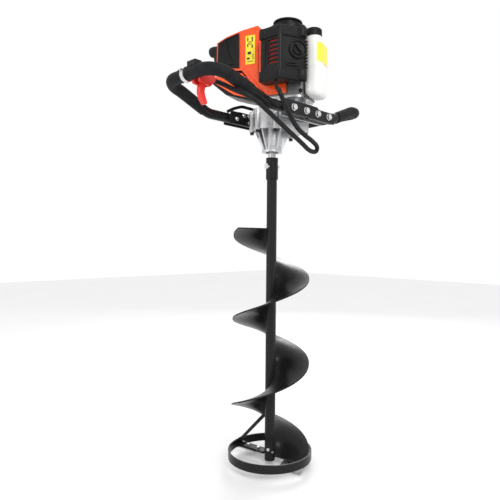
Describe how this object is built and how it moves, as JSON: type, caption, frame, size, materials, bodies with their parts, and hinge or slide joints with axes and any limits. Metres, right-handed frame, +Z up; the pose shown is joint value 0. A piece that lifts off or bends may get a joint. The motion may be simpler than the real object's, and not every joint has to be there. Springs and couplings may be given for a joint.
{
  "type": "ice fishing auger",
  "caption": "Petrol powerhead on a loop-handle frame driving a long helical ice bit with a ring-guarded cutting end; trigger, clutch, gearbox and engine are separate parts.",
  "frame": {"origin": "on the bit axis at the level of the blade tips", "axes": "+Z up the bit axis towards the engine, +X along the handle frame towards the plain loop, +Y towards the far handle plate"},
  "size_m": [0.5685, 0.3312, 1.0998],
  "materials": {
    "black_paint": "satin black powder coat",
    "cast_aluminium": "bright die-cast, fine matt grain",
    "grey_casting": "grey die-cast",
    "orange_plastic": "semi-gloss moulded orange",
    "black_plastic": "fine-textured moulded black",
    "red_plastic": "semi-gloss moulded red",
    "tank_plastic": "translucent natural polyethylene",
    "foam": "closed-cell black foam rubber",
    "cable_loom": "ribbed black split loom",
    "steel": "machined steel",
    "zinc": "bright zinc-plated",
    "black_screw": "black oxide",
    "blade_steel": "ground and black-coated steel",
    "rubber": "soft black rubber",
    "filter_foam": "open-cell red filter foam",
    "heat_metal": "thin heat shield, warm tint"
  },
  "bodies": {
    "powerhead": {"gearbox_housing": "cast_aluminium", "gearbox_cover": "cast_aluminium", "gearbox_bolts": "black_screw", "shaft_seal": "rubber", "shaft_bearings": "steel", "clutch_housing": "cast_aluminium", "fan_housing": "grey_casting", "crankcase_lower": "grey_casting", "crankcase_upper": "grey_casting", "connecting_rod": "steel", "piston": "grey_casting", "cylinder": "grey_casting", "spark_plug": "zinc", "plug_boot": "rubber", "engine_cowl": "orange_plastic", "cowl_side_panel": "black_plastic", "head_shield": "heat_metal", "lower_cowl": "orange_plastic", "recoil_housing": "black_plastic", "recoil_cap": "black_plastic", "fuel_tank": "tank_plastic", "carburettor": "grey_casting", "air_cleaner_base": "black_plastic", "air_filter": "filter_foam", "air_cleaner_cover": "black_plastic", "muffler": "steel", "muffler_guard": "black_plastic", "left_handle_tube": "black_paint", "right_handle_tube": "black_paint", "foam_grips": "foam", "handle_plates": "black_paint", "plate_bolts": "zinc", "brace_rod": "black_paint", "trigger_housing": "red_plastic", "grip_clamp": "zinc", "stop_switch": "black_plastic", "throttle_cable": "cable_loom"},
    "bit": {"auger_tube": "black_paint", "flight": "black_paint", "cutting_ring": "black_paint", "ring_struts": "black_paint", "blades": "blade_steel", "blade_bolts": "zinc", "coupling_sleeve": "black_paint", "coupling_bolt": "zinc", "output_shaft": "steel", "output_gear": "steel"},
    "layshaft_body": {"layshaft": "steel"},
    "drum": {"clutch_drum": "steel"},
    "crank": {"crankshaft": "steel", "flywheel": "grey_casting", "clutch_shoes": "steel"},
    "pulley": {"starter_pulley": "black_plastic"},
    "starter_grip": {"starter_handle": "black_plastic"},
    "trigger": {"trigger_lever": "red_plastic"},
    "throttle": {"throttle_plate": "steel"},
    "choke": {"choke_lever": "red_plastic"},
    "cover_screw": {"cover_knob": "black_plastic"},
    "tank_cap": {"fuel_cap": "black_plastic"},
    "stop_slider": {"switch_slider": "red_plastic"}
  },
  "joints": [
    {"name": "bit_spin", "type": "hinge", "parent": "powerhead", "child": "bit", "pos_m": [0, 0, 0.5], "axis": [0, 0, 1], "continuous": true},
    {"name": "layshaft_spin", "type": "hinge", "parent": "powerhead", "child": "layshaft_body", "pos_m": [0.04548, 0.00498, 0.84], "axis": [0, 0, 1], "continuous": true},
    {"name": "drum_spin", "type": "hinge", "parent": "powerhead", "child": "drum", "pos_m": [0.0264, -0.0273, 0.88], "axis": [0, 0, 1], "continuous": true},
    {"name": "crank_spin", "type": "hinge", "parent": "powerhead", "child": "crank", "pos_m": [0.0264, -0.0273, 0.9], "axis": [0, 0, 1], "continuous": true},
    {"name": "starter_pulley_spin", "type": "hinge", "parent": "powerhead", "child": "pulley", "pos_m": [0.0264, -0.0273, 1.07], "axis": [0, 0, 1], "range_deg": [0, 1260], "stiffness_Nm_per_rad": 0.002},
    {"name": "starter_pull", "type": "slide", "parent": "powerhead", "child": "starter_grip", "axis": [0.342, -0.9397, 0], "range_m": [0, 0.75]},
    {"name": "trigger_squeeze", "type": "hinge", "parent": "powerhead", "child": "trigger", "pos_m": [-0.24, -0.022, 0.881], "axis": [0, 1, 0], "range_deg": [0, 22], "stiffness_Nm_per_rad": 0.3},
    {"name": "throttle_turn", "type": "hinge", "parent": "powerhead", "child": "throttle", "pos_m": [-0.00759, -0.08011, 1.016], "axis": [0, 0, 1], "range_deg": [0, 66.1]},
    {"name": "choke_turn", "type": "hinge", "parent": "powerhead", "child": "choke", "pos_m": [-0.00143, -0.09702, 1.028], "axis": [0.342, -0.9397, 0], "range_deg": [0, 60]},
    {"name": "cover_knob_turn", "type": "hinge", "parent": "powerhead", "child": "cover_screw", "pos_m": [-0.02883, -0.11062, 0.99], "axis": [-0.4268, -0.9043, 0], "range_deg": [0, 1440]},
    {"name": "fuel_cap_turn", "type": "hinge", "parent": "powerhead", "child": "tank_cap", "pos_m": [0.02839, -0.11171, 1.045], "axis": [0, 0, 1], "range_deg": [0, 540]},
    {"name": "stop_switch_slide", "type": "slide", "parent": "powerhead", "child": "stop_slider", "axis": [0, -1, 0], "range_m": [0, 0.0033]}
  ],
  "couplings": [
    {"joint": "layshaft_spin", "follows": "bit_spin", "ratio": -4.5455},
    {"joint": "drum_spin", "follows": "bit_spin", "ratio": 29.545},
    {"joint": "starter_pull", "follows": "starter_pulley_spin", "m_per_rad": 0.034101},
    {"joint": "throttle_turn", "follows": "trigger_squeeze", "ratio": 3}
  ]
}
